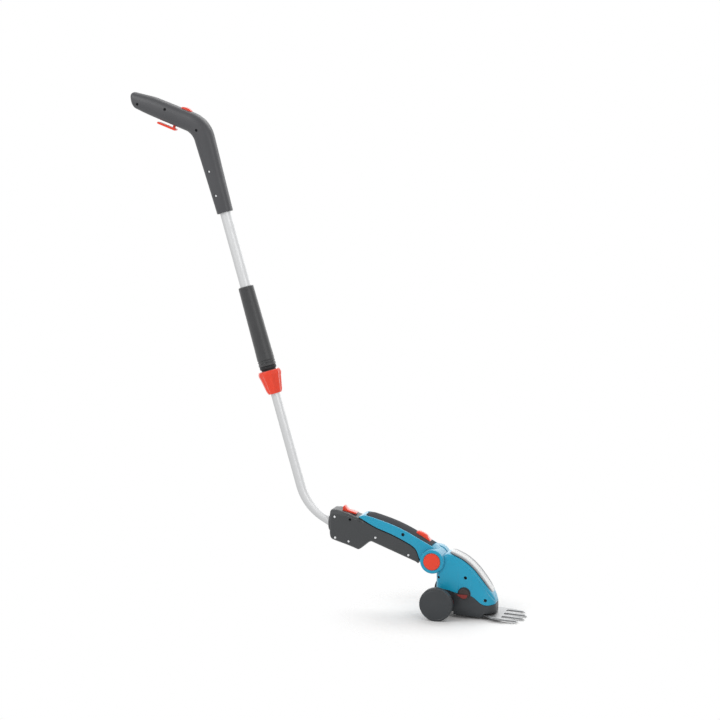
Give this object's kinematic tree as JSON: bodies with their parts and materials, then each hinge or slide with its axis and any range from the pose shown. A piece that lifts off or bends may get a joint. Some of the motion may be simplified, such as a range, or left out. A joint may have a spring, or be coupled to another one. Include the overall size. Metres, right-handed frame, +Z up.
{
  "type": "cordless grass shears on a pole",
  "caption": "Battery grass shears with toothed blades and a tilting wheeled head, held in a cradle on a telescopic pole with a triggered hand grip.",
  "frame": {"origin": "on the ground under the middle of the tool's length and width, with the wheels standing on zero", "axes": "+X towards the blade tips, +Z up, +Y to the left of someone pushing the tool"},
  "size_m": [0.7557, 0.125, 0.9489],
  "materials": {
    "turquoise_plastic": "satin moulded plastic",
    "dark_plastic": "fine-grained moulded plastic",
    "black_plastic": "moulded plastic",
    "orange_plastic": "satin moulded plastic",
    "smoky_trim": "glossy moulded plastic",
    "soft_rubber": "soft-touch rubber",
    "tube_aluminium": "satin anodised",
    "blade_steel": "ground and coated",
    "screw_steel": "zinc plated",
    "motor_steel": "plated can",
    "pinion_brass": "cut brass",
    "cell_wrap": "shrink-wrapped cells",
    "board": "coated circuit board"
  },
  "bodies": {
    "upper_pole": {"upper_tube": "tube_aluminium", "grip_sleeve": "soft_rubber", "clamp_body": "black_plastic", "top_handle_right": "dark_plastic", "top_handle_left": "dark_plastic", "top_handle_screws": "screw_steel", "trigger_switch": "black_plastic", "trigger_spring": "screw_steel"},
    "clamp_collar": {"clamp_collar": "orange_plastic"},
    "trigger": {"trigger": "orange_plastic"},
    "lock_button": {"lock_button": "orange_plastic"},
    "lower_pole": {"lower_tube": "tube_aluminium", "tube_guide": "black_plastic", "socket_bush": "dark_plastic", "cradle_right": "dark_plastic", "cradle_left": "dark_plastic", "cradle_screws": "screw_steel", "latch_spring": "screw_steel", "handle_right": "turquoise_plastic", "handle_left": "turquoise_plastic", "soft_grip": "soft_rubber", "handle_screws": "screw_steel", "start_switch": "black_plastic", "battery_carrier": "black_plastic", "battery_cells": "cell_wrap", "control_board": "board"},
    "release_latch": {"release_latch": "orange_plastic"},
    "start_button": {"start_button": "orange_plastic"},
    "head": {"head_right": "turquoise_plastic", "head_left": "turquoise_plastic", "head_trim": "smoky_trim", "head_screws": "screw_steel", "gear_case": "dark_plastic", "base_cover": "dark_plastic", "motor": "motor_steel", "motor_plate": "motor_steel", "gear_shaft": "screw_steel", "lower_blade": "blade_steel", "blade_pivot": "screw_steel", "blade_screws": "screw_steel", "wheel_carrier": "dark_plastic", "wheel_axle": "screw_steel", "hinge_pin": "screw_steel", "hinge_spring_right": "screw_steel", "hinge_spring_left": "screw_steel"},
    "hinge_button_right": {"hinge_button_right": "orange_plastic"},
    "hinge_button_left": {"hinge_button_left": "orange_plastic"},
    "wheel_right": {"wheel_right": "dark_plastic"},
    "wheel_left": {"wheel_left": "dark_plastic"},
    "lock_knob_right": {"lock_knob_right": "black_plastic", "lock_pointer_right": "orange_plastic"},
    "lock_knob_left": {"lock_knob_left": "black_plastic", "lock_pointer_left": "orange_plastic"},
    "upper_blade": {"upper_blade": "blade_steel"},
    "crank_gear": {"crank_gear": "black_plastic"},
    "motor_pinion": {"motor_pinion": "pinion_brass"}
  },
  "joints": [
    {"name": "telescope", "type": "slide", "parent": "upper_pole", "child": "lower_pole", "axis": [0.2756, 0, -0.9613], "range_m": [0, 0.35]},
    {"name": "collar_twist", "type": "hinge", "parent": "upper_pole", "child": "clamp_collar", "pos_m": [-0.10556, 0, 0.41498], "axis": [-0.2756, 0, 0.9613], "range_deg": [0, 120]},
    {"name": "trigger_press", "type": "slide", "parent": "upper_pole", "child": "trigger", "axis": [0.3584, 0, 0.9336], "range_m": [0, 0.004], "stiffness_N_per_m": 600, "springref_m": -0.002, "deforming": ["trigger_spring"]},
    {"name": "lock_press", "type": "slide", "parent": "upper_pole", "child": "lock_button", "axis": [-0.3584, 0, -0.9336], "range_m": [0, 0.003], "stiffness_N_per_m": 500, "springref_m": -0.002},
    {"name": "latch_pull", "type": "slide", "parent": "lower_pole", "child": "release_latch", "axis": [-0.9744, 0, 0.225], "range_m": [0, 0.006], "stiffness_N_per_m": 400, "springref_m": -0.004, "deforming": ["latch_spring"]},
    {"name": "start_press", "type": "slide", "parent": "lower_pole", "child": "start_button", "axis": [-0.3584, 0, -0.9336], "range_m": [0, 0.003], "stiffness_N_per_m": 600, "springref_m": -0.002},
    {"name": "head_tilt", "type": "hinge", "parent": "lower_pole", "child": "head", "pos_m": [0.20903, 0, 0.1013], "axis": [0, 1, 0], "range_deg": [-30, 45]},
    {"name": "hinge_press_right", "type": "slide", "parent": "head", "child": "hinge_button_right", "axis": [0, 1, 0], "range_m": [0, 0.003], "stiffness_N_per_m": 800, "springref_m": -0.002, "deforming": ["hinge_spring_right"]},
    {"name": "hinge_press_left", "type": "slide", "parent": "head", "child": "hinge_button_left", "axis": [0, -1, 0], "range_m": [0, 0.003], "stiffness_N_per_m": 800, "springref_m": -0.002, "deforming": ["hinge_spring_left"]},
    {"name": "wheel_spin_right", "type": "hinge", "parent": "head", "child": "wheel_right", "pos_m": [0.22443, 0, 0.0305], "axis": [0, 1, 0], "continuous": true},
    {"name": "wheel_spin_left", "type": "hinge", "parent": "head", "child": "wheel_left", "pos_m": [0.22443, 0, 0.0305], "axis": [0, 1, 0], "continuous": true},
    {"name": "knob_turn_right", "type": "hinge", "parent": "head", "child": "lock_knob_right", "pos_m": [0.27003, 0, 0.0467], "axis": [0, 1, 0], "range_deg": [0, 90]},
    {"name": "knob_turn_left", "type": "hinge", "parent": "head", "child": "lock_knob_left", "pos_m": [0.27003, 0, 0.0467], "axis": [0, 1, 0], "range_deg": [0, 90]},
    {"name": "blade_swing", "type": "hinge", "parent": "head", "child": "upper_blade", "pos_m": [0.25864, 0, 0.01188], "axis": [0.0872, 0, 0.9962], "range_deg": [-5, 5]},
    {"name": "crank_spin", "type": "hinge", "parent": "head", "child": "crank_gear", "pos_m": [0.29113, 0, 0.01606], "axis": [0.0872, 0, 0.9962], "continuous": true},
    {"name": "rotor_spin", "type": "hinge", "parent": "head", "child": "motor_pinion", "pos_m": [0.26847, 0, 0.01805], "axis": [0.0872, 0, 0.9962], "continuous": true}
  ],
  "couplings": [
    {"joint": "rotor_spin", "follows": "crank_spin", "ratio": -6}
  ]
}
